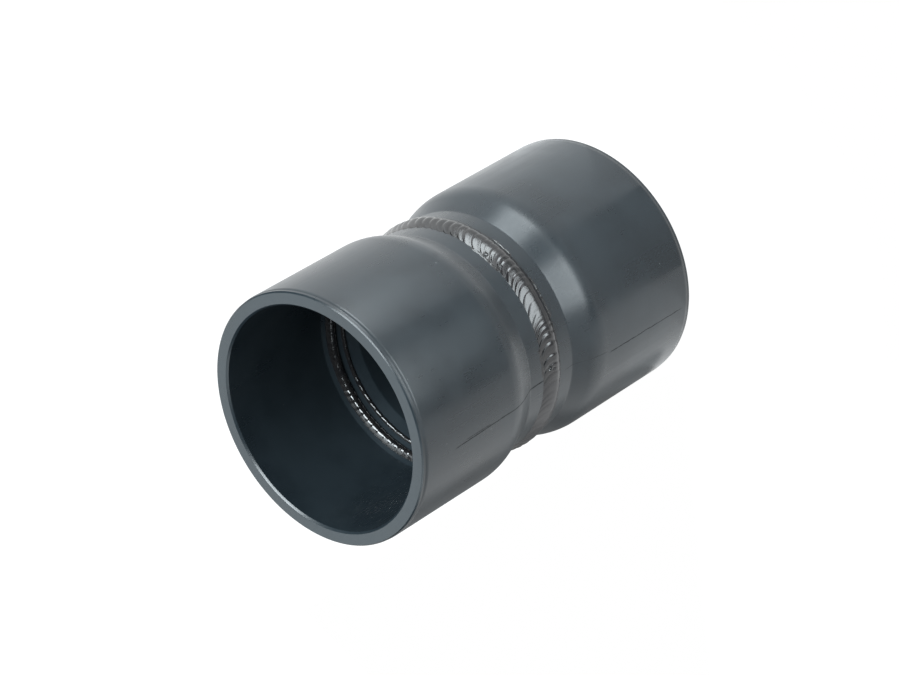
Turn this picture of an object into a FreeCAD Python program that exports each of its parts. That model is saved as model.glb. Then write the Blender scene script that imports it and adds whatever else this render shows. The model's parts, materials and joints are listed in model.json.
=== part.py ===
import FreeCAD, Part
import math
import os

os.makedirs("parts", exist_ok=True)

# A straight coupler for 110 mm rigid PVC pressure pipe, standing on its rear mouth.
# Two lengths of thick pipe are each warmed and expanded at one end into a bell socket.
# Their narrow necks are butted in the middle and joined with a hand-laid weld bead.
# Inside each socket, two weld runs on the shoulder stop the pipe that is pushed in.
# Z runs along the axis: the rear mouth is at z = 0 and the front mouth is at the top.

# Pipe and socket sizes, in millimetres and degrees
pipe_diameter = 110.0
pipe_wall = 8.1
socket_clearance = 0.15
socket_wall = 7.05
front_socket_depth = 63.5
rear_socket_depth = 61.0
neck_length = 17.0
shoulder_angle = 28.0
shoulder_crest_radius = 8.0
mouth_outer_chamfer = 0.7
mouth_inner_chamfer = 0.9

# Weld bead over the butt joint of the necks
weld_width = 13.0
weld_height = 3.3
weld_ripple_pitch = 3.8
weld_ripple_depth = 0.75
weld_ripple_bow = 1.7

# Thick weld run that stops the pipe, measured back from the foot of the bore
stop_width = 4.0
stop_height = 2.0
stop_setback = 4.6
stop_ripple_pitch = 3.7
stop_ripple_depth = 0.35

# Thin weld run deeper in the shoulder, measured back from the thick one
thin_width = 2.2
thin_height = 1.1
thin_spacing = 4.9
thin_ripple_pitch = 5.2
thin_ripple_depth = 0.25

# Where in its pitch a ripple peaks, and how many flats make the crown of each run
ripple_peak_share = 0.68
weld_flats = 4
stop_flats = 3
thin_flats = 2

neck_outer_radius = pipe_diameter / 2
neck_inner_radius = neck_outer_radius - pipe_wall
bore_radius = neck_outer_radius + socket_clearance
socket_outer_radius = bore_radius + socket_wall
slope = math.radians(shoulder_angle)

# Heights above the butt joint: the inner cone keeps the pipe's wall under the outer one
cone_foot = neck_length + pipe_wall * math.tan(slope / 2)
bore_foot = cone_foot + (bore_radius - neck_inner_radius) / math.tan(slope)
crest_corner = neck_length + (socket_outer_radius - neck_outer_radius) / math.tan(slope)
crest_reach = shoulder_crest_radius * math.tan(slope / 2)

origin = FreeCAD.Vector(0, 0, 0)
axis = FreeCAD.Vector(0, 0, 1)


def point(radius, height):
    return FreeCAD.Vector(radius, 0, height)


def line(start, end):
    return Part.LineSegment(start, end).toShape()


def shoulder_crest():
    """The arc that rolls the outside of the shoulder into the socket."""
    centre_radius = socket_outer_radius - shoulder_crest_radius
    crest_end = crest_corner + crest_reach
    return [
        point(
            centre_radius + shoulder_crest_radius * math.cos(turn),
            crest_end - shoulder_crest_radius * math.sin(turn),
        )
        for turn in (slope, slope / 2, 0)
    ]


def bell_socket(socket_depth):
    """One belled length of pipe, turned about Z, with its butt end at z = 0."""
    mouth = bore_foot + socket_depth
    crest = shoulder_crest()
    corners_outside = [
        point(neck_inner_radius, 0),
        point(neck_outer_radius, 0),
        point(neck_outer_radius, neck_length),
        crest[0],
    ]
    corners_to_bore = [
        crest[2],
        point(socket_outer_radius, mouth - mouth_outer_chamfer),
        point(socket_outer_radius - mouth_outer_chamfer, mouth),
        point(bore_radius + mouth_inner_chamfer, mouth),
        point(bore_radius, mouth - mouth_inner_chamfer),
        point(bore_radius, bore_foot),
        point(neck_inner_radius, cone_foot),
        point(neck_inner_radius, 0),
    ]
    edges = [line(a, b) for a, b in zip(corners_outside, corners_outside[1:])]
    edges.append(Part.Arc(*crest).toShape())
    edges += [line(a, b) for a, b in zip(corners_to_bore, corners_to_bore[1:])]
    return Part.Face(Part.Wire(edges)).revolve(origin, axis, 360)


def ring_skin(ribs):
    """A closed solid from ribs that go once round the axis.

    Each flat between two ribs is twisted, so it is made of two triangles.
    """
    faces = []
    for rib, next_rib in zip(ribs, ribs[1:] + ribs[:1]):
        for corner in range(len(rib)):
            a, b = rib[corner - 1], rib[corner]
            c, d = next_rib[corner], next_rib[corner - 1]
            faces += [Part.Face(Part.makePolygon(ring)) for ring in ((a, b, c, a), (a, c, d, a))]
    shell = Part.makeShell(faces)
    shell.sewShape()
    return Part.makeSolid(Part.Shell(shell.Faces))


def weld_run(seat, lean, width, height, pitch, depth, flats, bow=0):
    """A rippled weld run laid on the wall and closed on itself round the axis.

    seat is the middle of its flat underside. lean is the angle from the axis to that
    underside, and the crown stands off it: outwards at 0, inwards past 90 degrees.
    The crown is half an oval in flats. Each ripple swells slowly, sinks fast and is
    bowed along the run at its middle.
    """
    along = FreeCAD.Vector(math.sin(lean), 0, math.cos(lean))
    off = FreeCAD.Vector(math.cos(lean), 0, -math.sin(lean))
    count = round(2 * math.pi * seat.x / pitch)
    ribs = []
    for ripple in range(count):
        for share, rise in ((0, height - depth), (ripple_peak_share, height)):
            turn = 2 * math.pi * (ripple + share) / count
            rib = []
            for step in range(flats + 1):
                around = math.pi * step / flats
                across = math.cos(around) * width / 2
                lift = math.sin(around) * rise
                corner = seat + along * across + off * lift
                angle = turn + bow * math.sin(around) / seat.x
                swing = FreeCAD.Rotation(axis, math.degrees(angle))
                rib.append(swing.multVec(corner))
            ribs.append(rib)
    return ring_skin(ribs)


def shoulder_run(setback, width, height, pitch, depth, flats):
    """A weld run on the inner cone, with its middle set back from the foot of the bore."""
    seat = point(bore_radius - setback * math.tan(slope), bore_foot - setback)
    return weld_run(seat, slope + math.pi, width, height, pitch, depth, flats)


def rear_twin(shape):
    return shape.mirror(origin, axis)


stop_run = shoulder_run(
    stop_setback, stop_width, stop_height, stop_ripple_pitch, stop_ripple_depth, stop_flats
)
thin_run = shoulder_run(
    stop_setback + thin_spacing,
    thin_width,
    thin_height,
    thin_ripple_pitch,
    thin_ripple_depth,
    thin_flats,
)

pieces = {
    "front_bell_socket": bell_socket(front_socket_depth),
    "front_stop_weld": stop_run,
    "front_inner_weld": thin_run,
    "outer_weld_bead": weld_run(
        point(neck_outer_radius, 0),
        0,
        weld_width,
        weld_height,
        weld_ripple_pitch,
        weld_ripple_depth,
        weld_flats,
        weld_ripple_bow,
    ),
    "rear_inner_weld": rear_twin(thin_run),
    "rear_stop_weld": rear_twin(stop_run),
    "rear_bell_socket": rear_twin(bell_socket(rear_socket_depth)),
}

joint_height = bore_foot + rear_socket_depth
for name, shape in pieces.items():
    shape.translate(FreeCAD.Vector(0, 0, joint_height))
    shape.exportStep(f"parts/{name}.step")
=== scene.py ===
import math

import bpy
import numpy as np
from mathutils import Matrix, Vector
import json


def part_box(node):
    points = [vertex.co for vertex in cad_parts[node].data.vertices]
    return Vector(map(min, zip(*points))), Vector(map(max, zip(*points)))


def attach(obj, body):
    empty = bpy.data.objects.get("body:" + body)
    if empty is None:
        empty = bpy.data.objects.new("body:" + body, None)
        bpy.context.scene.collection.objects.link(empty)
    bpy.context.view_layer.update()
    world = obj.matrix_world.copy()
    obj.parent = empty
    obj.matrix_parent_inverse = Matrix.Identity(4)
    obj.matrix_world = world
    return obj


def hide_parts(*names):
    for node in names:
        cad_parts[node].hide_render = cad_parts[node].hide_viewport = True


# A straight coupler for 110 mm rigid PVC pressure pipe, standing on its rear mouth.
# Two belled lengths of pipe are butted neck to neck and welded by hand with PVC rod.
# Lengths are in metres. Turns round the axis are in degrees from -Y towards +X.
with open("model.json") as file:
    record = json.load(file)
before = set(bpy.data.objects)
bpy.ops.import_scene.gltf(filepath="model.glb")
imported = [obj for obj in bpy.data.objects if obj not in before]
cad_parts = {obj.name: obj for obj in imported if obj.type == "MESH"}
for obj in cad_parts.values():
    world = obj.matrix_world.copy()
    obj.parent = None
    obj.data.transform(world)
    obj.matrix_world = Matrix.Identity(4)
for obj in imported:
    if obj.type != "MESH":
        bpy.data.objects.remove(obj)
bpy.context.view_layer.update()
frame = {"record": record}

# Bell sockets: thick grey PVC pipe, warmed and pushed over a former so that one end
# swells into a socket. The neck stays close to the pipe's own size, and the mouth is
# turned flat with a narrow relieved band round its lip. The two meet at the butt joint.
mm = 0.001
front_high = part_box("front_bell_socket")[1]
rear_low, rear_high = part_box("rear_bell_socket")
joint_height = rear_high.z
socket_outer = front_high.x
mounts = {mount["name"]: mount for mount in frame["record"]["mounts"]}
bore_radius = mounts["front_socket"]["dims"]["r_mm"] * mm

# Neck and shoulder, with heights counted from the joint
neck_outer = 56.8 * mm
neck_inner = 46.9 * mm
neck_length = 17.0 * mm
pipe_wall = 8.1 * mm
inner_slope = math.radians(28.0)
front_foot = 17.2 * mm
rear_foot = 13.0 * mm
shoulder_run = 13.5 * mm
foot_rounding = 3.0 * mm
crest_rounding = 25.0 * mm
cone_foot = neck_length + pipe_wall * math.tan(inner_slope / 2)
cone_foot_rounding = 2.0 * mm
bore_foot = cone_foot + (bore_radius - neck_inner) / math.tan(inner_slope)
bore_foot_rounding = 0.8 * mm

# Lip of the mouth
lip_band = 2.4 * mm
lip_relief = 0.22 * mm
lip_step = 0.25 * mm
lip_rounding = 0.1 * mm
outer_chamfer = 0.6 * mm
inner_chamfer = 0.9 * mm
edge_rounding = 0.2 * mm
bore_edge_rounding = 0.3 * mm

# How far the heated part is out of round: as an oval that starts at a turn in radians,
# and as a three-lobed wave that turns by so many radians a metre
oval_sway = 0.09 * mm
oval_start = 0.7
lobe_sway = 0.05 * mm
lobe_twist = 18.0
bell_columns = 384
section_spacing = 2.5 * mm
arc_points = 8
closest_points = 0.02 * mm


def rounded_path(corners, spacing):
    """A path in radius and height through corners given as radius, height and rounding.

    Each inner corner gets an arc of its rounding, which starts and ends at rounding /
    tan(half the inside angle) from it. Straight stretches get a point every spacing.
    """
    corners = np.array(corners)
    points, roundings = corners[:, :2], corners[1:-1, 2]
    path = [points[:1]]
    for before, corner, after, radius in zip(points, points[1:], points[2:], roundings):
        back = (before - corner) / np.linalg.norm(before - corner)
        ahead = (after - corner) / np.linalg.norm(after - corner)
        half = math.acos(back @ ahead) / 2
        middle = (back + ahead) / np.linalg.norm(back + ahead)
        centre = corner + middle * radius / math.sin(half)
        start = (corner + back * radius / math.tan(half) - centre) / radius
        end = (corner + ahead * radius / math.tan(half) - centre) / radius
        sweep = math.pi - 2 * half
        share = np.linspace(0, 1, arc_points)[:, None] * sweep
        swung = np.sin(sweep - share) * start + np.sin(share) * end
        path.append(centre + radius * swung / math.sin(sweep))
    path.append(points[-1:])
    path = np.vstack(path)
    length = np.concatenate([[0], np.cumsum(np.hypot(*np.diff(path, axis=0).T))])
    places = np.union1d(length, np.arange(0, length[-1], spacing))
    places = places[np.append(True, np.diff(places) > closest_points)]
    return np.column_stack([np.interp(places, length, path[:, side]) for side in (0, 1)])


def bell_rings(foot, mouth, side):
    """Points of a bell, turned round the axis: radius and height follow its section.

    Height is above the joint for side 1 and below it for side -1. The heated part is a
    little out of round: two slow waves round the axis, which fade to nothing at the neck.
    """
    lip = socket_outer - lip_relief
    corners = [
        (neck_outer, 0, 0),
        (neck_outer, foot, foot_rounding),
        (socket_outer, foot + shoulder_run, crest_rounding),
        (socket_outer, mouth - lip_band, lip_rounding),
        (lip, mouth - lip_band + lip_step, lip_rounding),
        (lip, mouth - outer_chamfer, edge_rounding),
        (lip - outer_chamfer, mouth, edge_rounding),
        (bore_radius + inner_chamfer, mouth, edge_rounding),
        (bore_radius, mouth - inner_chamfer, bore_edge_rounding),
        (bore_radius, bore_foot, bore_foot_rounding),
        (neck_inner, cone_foot, cone_foot_rounding),
        (neck_inner, 0, 0),
    ]
    radius, height = rounded_path(corners, section_spacing)[::side].T
    turn = np.linspace(0, 2 * math.pi, bell_columns, endpoint=False)[:, None]
    heated = np.clip((height - neck_length) / (bore_foot - neck_length), 0, 1)
    oval = oval_sway * np.sin(2 * turn + oval_start * side)
    lobes = lobe_sway * np.sin(3 * turn + lobe_twist * height)
    spread = radius + heated * (oval + lobes)
    level = np.broadcast_to(joint_height + side * height, spread.shape)
    return np.stack([spread * np.sin(turn), -spread * np.cos(turn), level], -1)


def closed_skin(name, rings, material, node):
    """A piece from rings[i, j], point i round the axis and j round the section.

    Each point is joined to the next both ways, and the last to the first, so the skin
    has no open edge.
    """
    around, across = rings.shape[:2]
    i, j = np.meshgrid(np.arange(around), np.arange(across), indexing="ij")
    here = i * across
    ahead = (i + 1) % around * across
    upper = (j + 1) % across
    corners = [here + j, ahead + j, ahead + upper, here + upper]
    faces = np.stack(corners, -1).reshape(-1, len(corners))
    mesh = bpy.data.meshes.new(name)
    mesh.from_pydata(rings.reshape(-1, 3).tolist(), [], faces.tolist())
    mesh.shade_smooth()
    mesh.materials.append(material)
    piece = bpy.data.objects.new(name, mesh)
    bpy.context.scene.collection.objects.link(piece)
    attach(piece, "root")
    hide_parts(node)


def feed(tree, socket, value):
    """Links a socket to another one, or sets it to a number or colour."""
    if isinstance(value, bpy.types.NodeSocket):
        tree.links.new(value, socket)
    else:
        socket.default_value = value


def add(tree, kind, settings=None, **inputs):
    """A node with its settings and inputs; an input's name has _ for each space."""
    made = tree.nodes.new("ShaderNode" + kind)
    for key, value in (settings or {}).items():
        setattr(made, key, value)
    for key, value in inputs.items():
        feed(tree, made.inputs[key.replace("_", " ")], value)
    return made


def math_of(tree, operation, *values):
    """The result socket of one math step on up to three values."""
    made = tree.nodes.new("ShaderNodeMath")
    made.operation = operation
    for socket, value in zip(made.inputs, values):
        feed(tree, socket, value)
    return made.outputs[0]


def step_of(tree, value, start, end):
    """0 where value is at start or before, 1 where it is at end or past it, smooth between."""
    ramp = add(tree, "MapRange", {"interpolation_type": "SMOOTHSTEP"}, Value=value)
    ramp.inputs["From Min"].default_value = start
    ramp.inputs["From Max"].default_value = end
    return ramp.outputs["Result"]


def blend_of(tree, share, first, second):
    """A colour that goes from the first to the second as share goes from 0 to 1."""
    mixed = add(tree, "Mix", {"data_type": "RGBA"})
    feed(tree, mixed.inputs["Factor"], share)
    feed(tree, mixed.inputs["A"], first)
    feed(tree, mixed.inputs["B"], second)
    return mixed.outputs["Result"]


def new_group(name, inputs, outputs):
    """An empty shader group with number sockets, and its input and output nodes."""
    group = bpy.data.node_groups.new(name, "ShaderNodeTree")
    for key, value in inputs.items():
        socket = group.interface.new_socket(key, in_out="INPUT", socket_type="NodeSocketFloat")
        socket.default_value = value
    for key in outputs:
        group.interface.new_socket(key, in_out="OUTPUT", socket_type="NodeSocketFloat")
    return group, group.nodes.new("NodeGroupInput"), group.nodes.new("NodeGroupOutput")


def use_group(tree, group, **inputs):
    """The group placed in a tree; an input's name has _ for each space."""
    placed = tree.nodes.new("ShaderNodeGroup")
    placed.node_tree = group
    for key, value in inputs.items():
        feed(tree, placed.inputs[key.replace("_", " ")], value)
    return placed


# Place on the turned surface: turn in degrees from -Y and height in millimetres
place_group, _, place_out = new_group("place round the axis", {}, ["Turn", "Height"])
object_place = add(place_group, "TexCoord").outputs["Object"]
place_parts = add(place_group, "SeparateXYZ", Vector=object_place)
away = math_of(place_group, "MULTIPLY", place_parts.outputs["Y"], -1.0)
turn = math_of(place_group, "ARCTAN2", place_parts.outputs["X"], away)
feed(place_group, place_out.inputs["Turn"], math_of(place_group, "DEGREES", turn))
height_mm = math_of(place_group, "MULTIPLY", place_parts.outputs["Z"], 1 / mm)
feed(place_group, place_out.inputs["Height"], height_mm)

# Hairline: a dark line along the axis that wanders a little, thins out in places and
# fades over its last few millimetres
hair_wander_scale = 0.16
hair_width_scale = 0.45
hair_core = 0.45
hair_fade = 4.0
hair_group, hair_in, hair_out = new_group(
    "hairline",
    {"Turn": 0, "Height": 0, "At": 0, "Lean": 0, "Low": 0, "High": 1, "Width": 0.3, "Wander": 0.4},
    ["Mask"],
)
given = hair_in.outputs
hair_along = add(hair_group, "CombineXYZ", X=given["At"], Z=given["Height"]).outputs[0]
hair_wave = add(hair_group, "TexNoise", Vector=hair_along, Scale=hair_wander_scale, Detail=5)
hair_swing = math_of(hair_group, "SUBTRACT", hair_wave.outputs[0], 0.5)
hair_swing = math_of(hair_group, "MULTIPLY", hair_swing, given["Wander"])
hair_rise = math_of(hair_group, "SUBTRACT", given["Height"], given["Low"])
hair_path = math_of(hair_group, "MULTIPLY_ADD", hair_rise, given["Lean"], given["At"])
hair_off = math_of(hair_group, "SUBTRACT", given["Turn"], hair_path)
hair_off = math_of(hair_group, "ABSOLUTE", math_of(hair_group, "ADD", hair_off, hair_swing))
hair_fat = add(hair_group, "TexNoise", Vector=hair_along, Scale=hair_width_scale, Detail=3)
hair_width = math_of(hair_group, "MULTIPLY", given["Width"], hair_fat.outputs[0])
hair_line = math_of(hair_group, "DIVIDE", hair_off, hair_width)
hair_line = step_of(hair_group, hair_line, 1.0, hair_core)
hair_left = math_of(hair_group, "SUBTRACT", given["High"], given["Height"])
hair_low_end = step_of(hair_group, hair_rise, 0, hair_fade)
hair_high_end = step_of(hair_group, hair_left, 0, hair_fade)
hair_ends = math_of(hair_group, "MULTIPLY", hair_low_end, hair_high_end)
feed(hair_group, hair_out.inputs["Mask"], math_of(hair_group, "MULTIPLY", hair_line, hair_ends))

# Handled surface: slow mottle, fine grain, and small pale specks of dust in a few of the
# cells that divide the surface
mottle_low = 0.32
mottle_high = 0.68
speck_scale = 210.0
speck_edge = 0.10
speck_core = 0.05
speck_from = 0.96
speck_full = 0.99
wear_group, wear_in, wear_out = new_group(
    "handled surface", {"Mottle scale": 30.0, "Grain scale": 1600.0}, ["Mottle", "Grain", "Specks"]
)
wear_place = add(wear_group, "TexCoord").outputs["Object"]
slow = add(wear_group, "TexNoise", Vector=wear_place, Detail=4, Roughness=0.6)
feed(wear_group, slow.inputs["Scale"], wear_in.outputs["Mottle scale"])
mottle = step_of(wear_group, slow.outputs[0], mottle_low, mottle_high)
feed(wear_group, wear_out.inputs["Mottle"], mottle)
fine = add(wear_group, "TexNoise", Vector=wear_place, Detail=3)
feed(wear_group, fine.inputs["Scale"], wear_in.outputs["Grain scale"])
feed(wear_group, wear_out.inputs["Grain"], fine.outputs[0])
speck_cells = add(wear_group, "TexVoronoi", Vector=wear_place, Scale=speck_scale)
speck_pick = add(wear_group, "SeparateColor", Color=speck_cells.outputs["Color"])
speck_dot = step_of(wear_group, speck_cells.outputs["Distance"], speck_edge, speck_core)
speck_rare = step_of(wear_group, speck_pick.outputs[0], speck_from, speck_full)
specks = math_of(wear_group, "MULTIPLY", speck_dot, speck_rare)
feed(wear_group, wear_out.inputs["Specks"], specks)

# Satin finish of the extruded pipe: dark blue-grey PVC with a faint mottle, drawing
# lines along the axis, a few pale specks and long black hairline scratches
pipe_dark = (0.010, 0.0145, 0.018, 1)
pipe_light = (0.0145, 0.0205, 0.025, 1)
pipe_speck = (0.07, 0.075, 0.08, 1)
scratch_black = (0.004, 0.005, 0.006, 1)
pipe_roughness = 0.23
draw_roughness = 0.08
mottle_roughness = 0.05
scratch_roughness = 0.55
grain_relief = 0.5
draw_relief = 0.3
scratch_relief = -3.0
pipe_relief_depth = 0.06 * mm
pipe_relief_strength = 0.35
draw_scale = 420.0
draw_stretch = 0.03

# Scratches on the pipe: turn, lean in degrees per mm, low and high end in mm, width in
# degrees, wander, strength
pipe_scratches = [
    (-40.8, -0.024, 96, 173, 0.62, 0.9, 1.0),
    (-41.3, -0.010, 146, 166, 0.42, 0.8, 0.9),
    (-41.1, -0.012, 99, 117, 0.60, 0.8, 0.95),
    (-41.4, -0.030, 62, 90, 0.40, 0.7, 0.6),
    (-43.3, 0.008, 5, 63, 0.56, 1.2, 0.9),
    (-42.9, 0.004, 42, 57, 0.56, 0.5, 0.9),
]

pipe_pvc = bpy.data.materials.new("grey_pipe_pvc")
pipe_pvc.use_nodes = True
tree = pipe_pvc.node_tree
shader = tree.nodes["Principled BSDF"]
place = use_group(tree, place_group)
wear = use_group(tree, wear_group)
scratch_mask = 0.0
for at, lean, low, high, width, wander, strength in pipe_scratches:
    hair = use_group(
        tree,
        hair_group,
        Turn=place.outputs["Turn"],
        Height=place.outputs["Height"],
        At=at,
        Lean=lean,
        Low=low,
        High=high,
        Width=width,
        Wander=wander,
    )
    held = math_of(tree, "MULTIPLY", hair.outputs["Mask"], strength)
    scratch_mask = math_of(tree, "MAXIMUM", scratch_mask, held)
colour = blend_of(tree, wear.outputs["Mottle"], pipe_dark, pipe_light)
colour = blend_of(tree, wear.outputs["Specks"], colour, pipe_speck)
feed(tree, shader.inputs["Base Color"], blend_of(tree, scratch_mask, colour, scratch_black))

# Drawing lines: noise that is fine round the pipe and long down its length
draw_place = add(tree, "Mapping", Vector=add(tree, "TexCoord").outputs["Object"])
draw_place.inputs["Scale"].default_value = (1, 1, draw_stretch)
draw_noise = add(tree, "TexNoise", Vector=draw_place.outputs[0], Scale=draw_scale, Detail=3)
draw_lines = draw_noise.outputs[0]
satin = math_of(tree, "MULTIPLY_ADD", draw_lines, draw_roughness, pipe_roughness)
satin = math_of(tree, "MULTIPLY_ADD", wear.outputs["Mottle"], mottle_roughness, satin)
satin = math_of(tree, "MULTIPLY_ADD", scratch_mask, scratch_roughness, satin)
feed(tree, shader.inputs["Roughness"], satin)
relief = math_of(tree, "MULTIPLY", wear.outputs["Grain"], grain_relief)
relief = math_of(tree, "MULTIPLY_ADD", draw_lines, draw_relief, relief)
relief = math_of(tree, "MULTIPLY_ADD", scratch_mask, scratch_relief, relief)
bump = add(
    tree, "Bump", Strength=pipe_relief_strength, Distance=pipe_relief_depth, Height=relief
)
feed(tree, shader.inputs["Normal"], bump.outputs[0])

for name, foot, mouth, side in (
    ("front", front_foot, front_high.z - joint_height, 1),
    ("rear", rear_foot, joint_height - rear_low.z, -1),
):
    rings = bell_rings(foot, mouth, side)
    closed_skin(f"{name}_bell", rings, pipe_pvc, f"{name}_bell_socket")


# Outer weld bead: PVC rod melted round the butt joint of the necks with a hot-gas iron.
# It cools in overlapping bowed ripples, with thin flash squeezed out along its toes, a
# crater where the run ends and a stretch that was smoothed over.
bead_low, bead_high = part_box("outer_weld_bead")
bead_width = bead_high.z - bead_low.z - 0.6 * mm
bead_height = 2.0 * mm
bead_ahead = 1.7 * mm
bead_crest = -0.2
bead_front_power = 1.45
bead_ripple_depth = 0.42 * mm
bead_ripple_pitch = 4.3
bead_ripple_bow = 4.2
bead_columns = 1480
smoothed_from = -80.0
smoothed_to = -41.0
smoothed_fade = 12.0
smoothed_edge = 3.0
smoothed_away = 0.7

# Turn and force of each ripple's steep front, from the crater on
bead_seen = [
    (-38.7, 0.7), (-34.2, 1.2), (-29.7, 1.25), (-24.2, 1.3), (-19.7, 1.2), (-16.2, 1.0),
    (-13.8, 0.5), (-8.8, 0.6), (-3.8, 0.55), (0.8, 0.6), (4.8, 0.8), (7.8, 0.8),
    (10.5, 1.0), (14.3, 1.0), (18.3, 0.9), (20.8, 0.5), (25.2, 0.6), (29.0, 0.35),
    (32.1, 0.6), (37.1, 0.6), (42.5, 0.7), (46.2, 1.0), (50.4, 1.1), (54.4, 1.1),
    (58.4, 1.0), (62.6, 1.0), (67.1, 0.9), (71.4, 1.1), (76.0, 1.0), (80.3, 0.9),
]

# Pits: turn, place across the bead from -1 at its rear toe to 1, radius and depth
bead_pits = [
    (-36.1, 0.45, 0.9 * mm, 0.9 * mm),
    (-36.6, 0.1, 0.7 * mm, 0.6 * mm),
    (26.0, 0.82, 0.7 * mm, 1.0 * mm),
    (-44.5, -0.8, 0.9 * mm, 0.9 * mm),
    (17.0, 0.7, 0.5 * mm, 0.4 * mm),
]

# Flash: -1 for the rear toe or 1 for the front one, first and last turn, thickness
bead_flash = [
    (-1, -15, 7, 0.32 * mm),
    (-1, 19, 32, 0.34 * mm),
    (-1, 60, 95, 0.25 * mm),
    (1, 16, 34, 0.30 * mm),
    (1, -40, -24, 0.12 * mm),
    (-1, 120, 150, 0.25 * mm),
    (1, -150, -118, 0.25 * mm),
]

# Shape of a ripple: the share of its length that its steep front takes, the shares of
# its depth for its puffed middle and its grooves, how many grooves it has, where across
# the run it reaches furthest, and the share of its bow at the rear toe. Of its depth,
# rear_force is left at the rear toe, and it grows from rear_fade behind the middle on.
# At both toes it fades as inside to the power toe_fade.
front_share = 0.05
puff_share = 0.16
groove_share = 0.1
grooves = 2
bow_middle = 0.1
rear_bow_share = 0.35
rear_force = 0.4
rear_fade = 0.9
toe_fade = 0.4

# Unevenness of a run: its ripples wander by degrees, its height and its width sway by
# shares of themselves, and each ripple widens it a little
ripple_wander = 0.25
height_sway = 0.05
width_sway = 0.035
ripple_widening = 0.05

# Points across a run: how many over its crown, their places past either toe and how
# many below. The film past the toes, the edges and the underside are sunk in the wall.
crown_points = 47
past_toe = np.array([1.02, 1.035, 1.05, 1.07, 1.1, 1.15, 1.22])
under_points = 6
film_sink = 0.06 * mm
edge_sink = 0.12 * mm
under_sink = 0.14 * mm

# Flash: how thick its sheet is, over how many degrees it fades at either end, and by
# what share of itself its rim's thickness varies. In shares of half the run's width: how
# far the sheet reaches past the toe, how wide the rim is, how far inside the toe it may
# start, and how far its line wanders.
flash_sheet = 0.12 * mm
flash_fade = 2.0
flash_raggedness = 0.4
flash_reach = 0.12
flash_rim = 0.03
flash_inset = 0.1
flash_wander = 0.012


def spaced_ripples(seen, pitch, seed):
    """Turns of the ripples' steep fronts: those seen, then some that close the ring.

    The rest divide the gap that is left by random steps of 0.75 to 1.25 pitches.
    """
    draw = np.random.default_rng(seed)
    gap = seen[0] + 360 - seen[-1]
    steps = draw.uniform(0.75, 1.25, max(2, round(gap / pitch)))
    rest = seen[-1] + np.cumsum(steps)[:-1] / steps.sum() * gap
    return np.concatenate([seen, rest])


def ripple_force(marks, seen, seed):
    """How strongly each ripple stands up: those seen first, then 0.6 to 1.2 at random."""
    force = np.random.default_rng(seed).uniform(0.6, 1.2, len(marks))
    force[: len(seen)] = seen
    return force


def ripple_phase(turn, marks):
    """Ripples passed at each turn: the whole part counts them, the rest is the share of one."""
    count = len(marks)
    wrapped = marks[0] + (turn - marks[0]) % 360
    return np.interp(wrapped, np.append(marks, marks[0] + 360), np.arange(count + 1))


def slow_wave(turn, seed):
    """A smooth wave round the axis between about -1 and 1.

    It is the sum of eight sines of 2 to 23 waves a turn, over 3.
    """
    draw = np.random.default_rng(seed)
    rates = draw.integers(2, 24, 8)
    starts = draw.uniform(0, 2 * math.pi, 8)
    return np.sin(np.radians(turn)[..., None] * rates + starts).sum(-1) / 3


def bead_calm(turn):
    """Ripple strength: 1 all round, and less by smoothed_away over the smoothed stretch."""
    into = np.clip((turn - smoothed_from + smoothed_fade) / smoothed_fade, 0, 1)
    out = np.clip((smoothed_to + smoothed_edge - turn) / (2 * smoothed_edge), 0, 1)
    return 1 - smoothed_away * into * out


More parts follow.
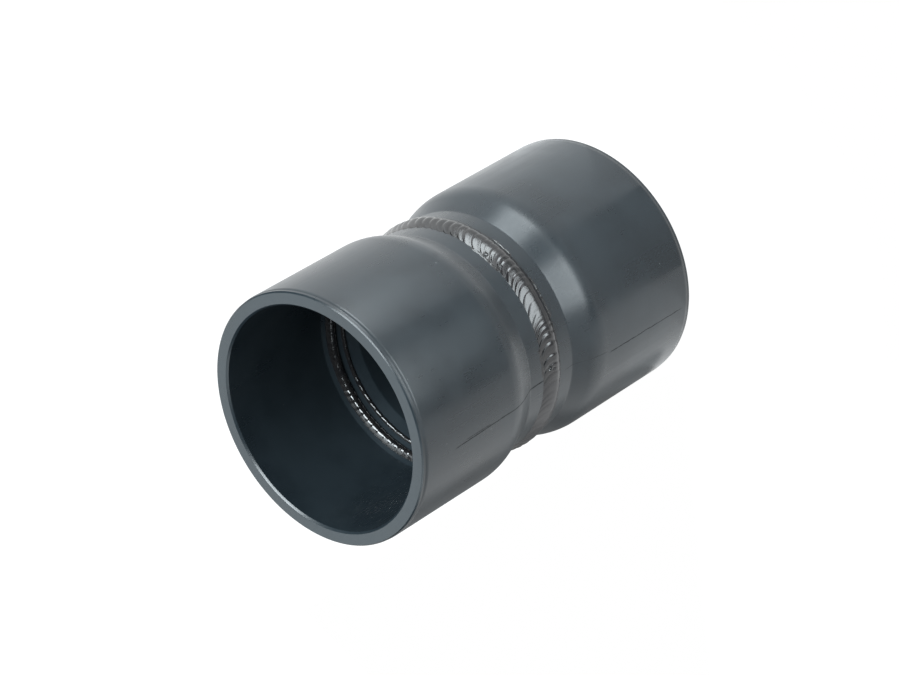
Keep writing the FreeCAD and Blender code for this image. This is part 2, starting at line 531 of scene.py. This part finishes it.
def laid_weld(
    seat,
    lean,
    width,
    height,
    marks,
    force,
    depth,
    bow,
    columns,
    side,
    seed,
    crest=0.0,
    front_power=2.0,
    calm=np.ones_like,
    pits=(),
    flash=(),
):
    """Points of a weld run laid on a wall and closed on itself round the axis.

    seat is the radius and height of its middle, and lean the angle from the axis to the
    wall. Across the run, from -1 to 1, the crown falls from its crest to either toe as 1
    less the share of the way to a power: 2 behind the crest, front_power before it.
    Ripples overlap like scales: each rises evenly by its force times depth and drops at
    the next mark on a narrow s-curve, puffed up a little by a cosine, with a raised
    cosine cubed for its grooves. All trail back by bow degrees at the front toe. Pits
    sink as bell curves, and flash raises a thin ragged rim along a toe.
    """
    crown_across = np.sin(np.linspace(-1, 1, crown_points) * math.pi / 2)
    across = np.concatenate([-past_toe[::-1], crown_across, past_toe])[None, :]
    turn = np.linspace(-180, 180, columns, endpoint=False)[:, None]
    strength = calm(turn)
    inside = np.clip(1 - across**2, 0, 1)

    ahead = np.clip(across - bow_middle, 0, 1 - bow_middle) / (1 - bow_middle)
    behind = np.clip(bow_middle - across, 0, 1 + bow_middle) / (1 + bow_middle)
    bowed = turn + bow * (ahead**2 + rear_bow_share * behind**2)
    phase = ripple_phase(bowed + ripple_wander * slow_wave(turn, seed + 3), marks)
    share = phase % 1
    number = (phase - share).astype(int) % len(marks)
    drop = 1 / (1 + np.exp(share / front_share)) - 1 / (1 + np.exp((1 - share) / front_share))
    swell = share - 0.5 + drop - puff_share * np.cos(2 * math.pi * share)
    groove_turn = 2 * math.pi * grooves * phase + slow_wave(turn, seed + 4)
    groove = (0.5 + 0.5 * np.cos(groove_turn)) ** 3

    widened = width_sway * slow_wave(turn, seed + 1) + ripple_widening * strength * swell
    half = width / 2 * (1 + widened)
    place = half * across
    crown = height * (1 + height_sway * slow_wave(turn, seed + 2))
    before_crest = across > crest
    span = np.where(before_crest, 1 - crest, 1 + crest)
    power = np.where(before_crest, front_power, 2.0)
    cap = crown * (1 - (np.abs(across - crest) / span) ** power)
    worn = rear_force + (1 - rear_force) * np.clip(rear_fade + across, 0, 1)
    ripples = depth * (force[number] * swell) - groove_share * depth * groove
    lift = np.clip(cap, 0, None) + strength * worn * inside**toe_fade * ripples
    for at, across_at, radius, sink in pits:
        arc = np.radians(turn - at) * seat[0]
        lift = lift - sink * np.exp(-(arc**2 + (place - half * across_at) ** 2) / radius**2)

    film = np.full_like(place, -film_sink)
    for toe, start, end, thick in flash:
        begun = np.clip((turn - start) / flash_fade, 0, 1)
        window = begun * np.clip((end - turn) / flash_fade, 0, 1)
        past = across * toe - 1 - flash_wander * slow_wave(turn, seed + 5)
        ragged = thick * (1 + flash_raggedness * slow_wave(turn, seed + 6))
        rim = ragged * np.exp(-((past / flash_rim) ** 2))
        sheet = flash_sheet * np.clip((flash_reach - past) / flash_rim, 0, 1)
        shown = window * (rim + sheet + film_sink) - film_sink
        film = np.maximum(film, np.where(past > -flash_inset, shown, film))
    lift = np.maximum(np.where(inside > 0, lift, film), film)
    lift[:, [0, -1]] = -edge_sink

    under = np.linspace(1, -1, under_points)[None, :] * place[:, -1:]
    place = np.concatenate([place, under], 1)
    lift = np.concatenate([lift, np.full_like(under, -under_sink)], 1)
    radius = seat[0] + place * math.sin(lean) + lift * math.cos(lean)
    level = seat[1] + place * math.cos(lean) - lift * math.sin(lean)
    arc = np.radians(turn)
    raised = joint_height + side * level
    rings = np.stack([radius * np.sin(arc), -radius * np.cos(arc), raised], -1)
    return rings[:, ::side]


# Melted finish of the weld rod: the same PVC gone darker and glossy as it flowed, and a
# dull grey where the bead was smoothed over with the hot iron
weld_dark = (0.008, 0.008, 0.009, 1)
weld_light = (0.015, 0.014, 0.014, 1)
weld_dull = (0.014, 0.0132, 0.0148, 1)
weld_ior = 1.6
weld_roughness = 0.11
dull_roughness = 0.2
dull_fade = 4.0
weld_relief_depth = 0.08 * mm
weld_relief_strength = 0.3
weld_mottle_scale = 160.0
weld_grain_scale = 2600.0

weld_pvc = bpy.data.materials.new("melted_weld_pvc")
weld_pvc.use_nodes = True
tree = weld_pvc.node_tree
shader = tree.nodes["Principled BSDF"]
place = use_group(tree, place_group)
wear = use_group(
    tree, wear_group, Mottle_scale=weld_mottle_scale, Grain_scale=weld_grain_scale
)
dull_from = smoothed_from - smoothed_fade
dull_start = step_of(tree, place.outputs["Turn"], dull_from, smoothed_from)
dull_end = step_of(tree, place.outputs["Turn"], smoothed_to, smoothed_to - dull_fade)
dull = math_of(tree, "MULTIPLY", dull_start, dull_end)
colour = blend_of(tree, wear.outputs["Mottle"], weld_dark, weld_light)
feed(tree, shader.inputs["Base Color"], blend_of(tree, dull, colour, weld_dull))
gloss = math_of(tree, "MULTIPLY_ADD", wear.outputs["Mottle"], mottle_roughness, weld_roughness)
gloss = math_of(tree, "MULTIPLY_ADD", dull, dull_roughness, gloss)
feed(tree, shader.inputs["Roughness"], gloss)
shader.inputs["IOR"].default_value = weld_ior
bump = add(tree, "Bump", Strength=weld_relief_strength, Distance=weld_relief_depth)
feed(tree, bump.inputs["Height"], wear.outputs["Grain"])
feed(tree, shader.inputs["Normal"], bump.outputs[0])

bead_marks = spaced_ripples([turn for turn, _ in bead_seen], bead_ripple_pitch, seed=11)
bead_force = ripple_force(bead_marks, [force for _, force in bead_seen], seed=12)
bead_rings = laid_weld(
    seat=(neck_outer, bead_ahead),
    lean=0,
    width=bead_width,
    height=bead_height,
    marks=bead_marks,
    force=bead_force,
    depth=bead_ripple_depth,
    bow=bead_ripple_bow,
    columns=bead_columns,
    side=1,
    seed=21,
    crest=bead_crest,
    front_power=bead_front_power,
    calm=bead_calm,
    pits=bead_pits,
    flash=bead_flash,
)
closed_skin("outer_bead", bead_rings, weld_pvc, "outer_weld_bead")


# Inner weld runs: on the shoulder inside each socket, a thick rippled run that stops
# the pipe, and a thinner ragged one deeper in. The rear pair mirrors the front one.
stop_setback = 4.3 * mm
stop_width = 5.2 * mm
stop_height = 2.2 * mm
stop_ripple_depth = 0.34 * mm
stop_ripple_pitch = 3.9
stop_ripple_bow = 2.5
stop_first_marks = [-30.0, -26.4]
stop_columns = 1200
ragged_setback = 9.5 * mm
ragged_width = 2.2 * mm
ragged_height = 1.0 * mm
ragged_ripple_depth = 0.45 * mm
ragged_ripple_pitch = 5.4
ragged_ripple_bow = 1.0
ragged_first_marks = [-30.0, -25.6]
ragged_columns = 900


def cone_place(setback):
    """The point of the inner cone that lies this far below the foot of the bore."""
    return bore_radius - setback * math.tan(inner_slope), bore_foot - setback


stop_marks = spaced_ripples(stop_first_marks, stop_ripple_pitch, seed=31)
stop_force = ripple_force(stop_marks, [], seed=32)
ragged_marks = spaced_ripples(ragged_first_marks, ragged_ripple_pitch, seed=41)
ragged_force = ripple_force(ragged_marks, [], seed=42)
for name, side in (("front", 1), ("rear", -1)):
    stop_rings = laid_weld(
        seat=cone_place(stop_setback),
        lean=inner_slope + math.pi,
        width=stop_width,
        height=stop_height,
        marks=stop_marks,
        force=stop_force,
        depth=stop_ripple_depth,
        bow=stop_ripple_bow,
        columns=stop_columns,
        side=side,
        seed=51,
    )
    closed_skin(f"{name}_stop", stop_rings, weld_pvc, f"{name}_stop_weld")
    ragged_rings = laid_weld(
        seat=cone_place(ragged_setback),
        lean=inner_slope + math.pi,
        width=ragged_width,
        height=ragged_height,
        marks=ragged_marks,
        force=ragged_force,
        depth=ragged_ripple_depth,
        bow=ragged_ripple_bow,
        columns=ragged_columns,
        side=side,
        seed=61,
    )
    closed_skin(f"{name}_ragged", ragged_rings, weld_pvc, f"{name}_inner_weld")


# Ground: a plain matt white studio sweep, which glows so that it stays without shadow. On it lie
# dim glowing cards that the camera doesn't see. They are painted shade: they stand in for darker
# ground near the part and show only in its reflections and bounce light. They keep the white from
# washing out the part: on its left side, in front of either bell, and inside the rear mouth.
ground_reach = 6.0
ground_glow = 0.97
ground_sheen = 0.0
ground_grey = (0.1, 0.1, 0.1, 1)
# Painted shade: the dark grey of the hidden cards that darken the part's reflections of the ground
painted_shade_grey = (0.05, 0.05, 0.05, 1)
shade_card_sheen = 0.5
sheet_roughness = 0.9
shade_card_lift = 0.6 * mm
shade_card_reach = 340 * mm
front_shade_turns = [-24.0, -14.0, -4.0, 6.0, 16.0]
left_shade_turns = [-88.0, -74.0, -62.0]
hollow_points = 48


def flat_sheet(name, corners, grey, sheen, glow):
    """A flat glowing sheet that faces up, with its corners in order, anticlockwise."""
    sheet_material = bpy.data.materials.new(f"{name}_paper")
    sheet_material.use_nodes = True
    sheet_shader = sheet_material.node_tree.nodes["Principled BSDF"]
    sheet_shader.inputs["Base Color"].default_value = grey
    sheet_shader.inputs["Roughness"].default_value = sheet_roughness
    sheet_shader.inputs["Specular IOR Level"].default_value = sheen
    sheet_shader.inputs["Emission Color"].default_value = (1, 1, 1, 1)
    sheet_shader.inputs["Emission Strength"].default_value = glow
    sheet_mesh = bpy.data.meshes.new(name)
    sheet_mesh.from_pydata(corners, [], [tuple(range(len(corners)))])
    sheet_mesh.materials.append(sheet_material)
    sheet = bpy.data.objects.new(name, sheet_mesh)
    bpy.context.scene.collection.objects.link(sheet)
    return sheet


def painted_shade_card(name, corners, glow):
    """A card of painted shade on the ground, out of the camera's sight, with its corners in x and
    y.
    """
    corners = np.column_stack([corners, np.full(len(corners), shade_card_lift)])
    shade_card = flat_sheet(name, corners.tolist(), painted_shade_grey, shade_card_sheen, glow)
    shade_card.visible_camera = False


def glance_strip(turns, start, end):
    """Corners that start and end this far from the part's side, along twice each turn."""
    turns = np.radians(turns)
    side = socket_outer * np.stack([np.sin(turns), -np.cos(turns)], -1)
    glance = np.stack([np.sin(2 * turns), -np.cos(2 * turns)], -1)
    return np.vstack([side + end * glance, (side + start * glance)[::-1]])


ground_corners = [
    (-ground_reach, -ground_reach, 0),
    (ground_reach, -ground_reach, 0),
    (ground_reach, ground_reach, 0),
    (-ground_reach, ground_reach, 0),
]
flat_sheet("ground", ground_corners, ground_grey, ground_sheen, ground_glow)
# Painted shade on the ground, seen only in reflections: beside the left side, near and far in
# front of the bells, and inside the rear mouth
painted_shade_card("dim_card_left", glance_strip(left_shade_turns, 14 * mm, shade_card_reach), glow=0.22)
painted_shade_card("dim_card_near", glance_strip(front_shade_turns, 1 * mm, 82 * mm), glow=0.5)
painted_shade_card("dim_card_far", glance_strip(front_shade_turns, 114 * mm, shade_card_reach), glow=0.25)
hollow_turns = np.linspace(0, 2 * math.pi, hollow_points, endpoint=False)
hollow_rim = (bore_radius - mm) * np.stack([np.sin(hollow_turns), -np.cos(hollow_turns)], -1)
painted_shade_card("dim_card_hollow", hollow_rim, glow=0.02)


# Lights: soft boxes on the left, in front and on the right, in bands of different
# strength, one high behind and one above for the inside, panels that stand close round
# the foot, and panels that lie on the ground. The camera sees none of them.
studio_tint = (0.91, 1.0, 1.04)
far_distance = 1.6
close_distance = 0.33
ground_panel_lift = 1 * mm
ground_panel_start = 64 * mm
ground_panel_middle = 135 * mm
ground_panel_width = 85 * mm
ground_panel_length = 270 * mm


def light_panel(name, width, height, strength, placed):
    """A rectangular area light out of the camera's sight.

    Its strength is its radiance, so its power is that times pi times its area.
    """
    lamp = bpy.data.lights.new(name, "AREA")
    lamp.shape = "RECTANGLE"
    lamp.size = width
    lamp.size_y = height
    lamp.energy = math.pi * width * height * strength
    lamp.color = studio_tint
    light = bpy.data.objects.new(name, lamp)
    bpy.context.scene.collection.objects.link(light)
    light.matrix_world = placed
    light.visible_camera = False


def soft_box(name, azimuth, elevation, wide, tall, strength, distance=far_distance):
    """An area light that faces the joint, with its place and its size as seen from there.

    Angles are in degrees and the azimuth goes from -Y towards +X.
    """
    width = 2 * distance * math.tan(math.radians(wide / 2))
    height = 2 * distance * math.tan(math.radians(tall / 2))
    swung = Matrix.Rotation(math.radians(azimuth), 4, "Z")
    raised = Matrix.Rotation(math.radians(90 - elevation), 4, "X")
    joint = Matrix.Translation((0, 0, joint_height))
    away = Matrix.Translation((0, 0, distance))
    light_panel(name, width, height, strength, joint @ (swung @ raised) @ away)


def ground_panel(name, turn, strength):
    """A panel that lies on the ground, facing up, and runs off along twice its turn."""
    around = math.radians(turn)
    start_x = ground_panel_start * math.sin(around)
    start_y = -ground_panel_start * math.cos(around)
    start = Matrix.Translation((start_x, start_y, ground_panel_lift))
    glance = Matrix.Rotation(math.radians(2 * turn), 4, "Z")
    middle = Matrix.Translation((0, -ground_panel_middle, 0))
    placed = start @ (glance @ middle) @ Matrix.Rotation(math.pi, 4, "X")
    light_panel(name, ground_panel_width, ground_panel_length, strength, placed)


# Azimuth, elevation, width and height as seen from the joint, and strength
soft_box("left_box_high", -83, 43.5, 34, 23, 1.6)
soft_box("left_box_middle", -83, 23.5, 34, 17, 3.7)
soft_box("left_front_box_low", -49, 7.5, 34, 15, 1.2)
soft_box("front_left_box_low", -20.5, 7.5, 23, 15, 2)
soft_box("front_box_low", 2.5, 7.5, 23, 15, 2.5)
soft_box("side_box_inner_high", 45.5, 43.5, 17, 23, 2.3)
soft_box("inner_top_box", 50, 62, 42, 22, 20)
soft_box("side_box_high", 62.5, 43.5, 17, 23, 11.3)
soft_box("side_box_middle", 62.5, 23.5, 17, 17, 1.8)
soft_box("back_box_high", 180, 42, 50, 30, 2.3)
soft_box("foot_panel_front", -7, -8.3, 36, 16.4, 6.5, close_distance)
soft_box("foot_panel_right", 25.5, -8.3, 23, 16.4, 0.7, close_distance)
soft_box("foot_panel_side", 50.5, -8.3, 27, 16.4, 8, close_distance)
soft_box("foot_panel_edge", 85, -8.3, 28, 16.4, 0.6, close_distance)

# Turn and strength
ground_panel("ground_panel_left_56", -56, 0.13)
ground_panel("ground_panel_left_44", -44, 0.21)
ground_panel("ground_panel_right_36", 36, 0.03)
ground_panel("ground_panel_right_48", 48, 0.23)
ground_panel("ground_panel_right_60", 60, 0.18)
ground_panel("ground_panel_right_74", 74, 0.1)

# Room: black, so that the lights and the ground alone light the part
room = bpy.data.worlds.new("dark_room")
room.use_nodes = True
room.node_tree.nodes["Background"].inputs["Strength"].default_value = 0.0
bpy.context.scene.world = room
bpy.context.scene.view_settings.view_transform = "Standard"
bpy.context.scene.view_settings.look = "None"


# Camera: in front and above, rolled so that the standing part lies across the frame.
# Its angles are in radians.
camera_distance = 1.6789
camera_aim = 94.7 * mm
camera_from_top = 0.8470
camera_roll = -2.1095
camera_swing = 0.0028
camera_nod = -0.0007
camera_data = bpy.data.cameras.new("camera")
camera_data.sensor_width = 36.0
camera_data.lens = 144.76
camera = bpy.data.objects.new("camera", camera_data)
bpy.context.scene.collection.objects.link(camera)
camera.matrix_world = (
    Matrix.Translation((0, 0, camera_aim))
    @ Matrix.Rotation(camera_from_top, 4, "X")
    @ Matrix.Translation((0, 0, camera_distance))
    @ Matrix.Rotation(camera_roll, 4, "Z")
    @ Matrix.Rotation(camera_swing, 4, "Y")
    @ Matrix.Rotation(camera_nod, 4, "X")
)
bpy.context.scene.camera = camera
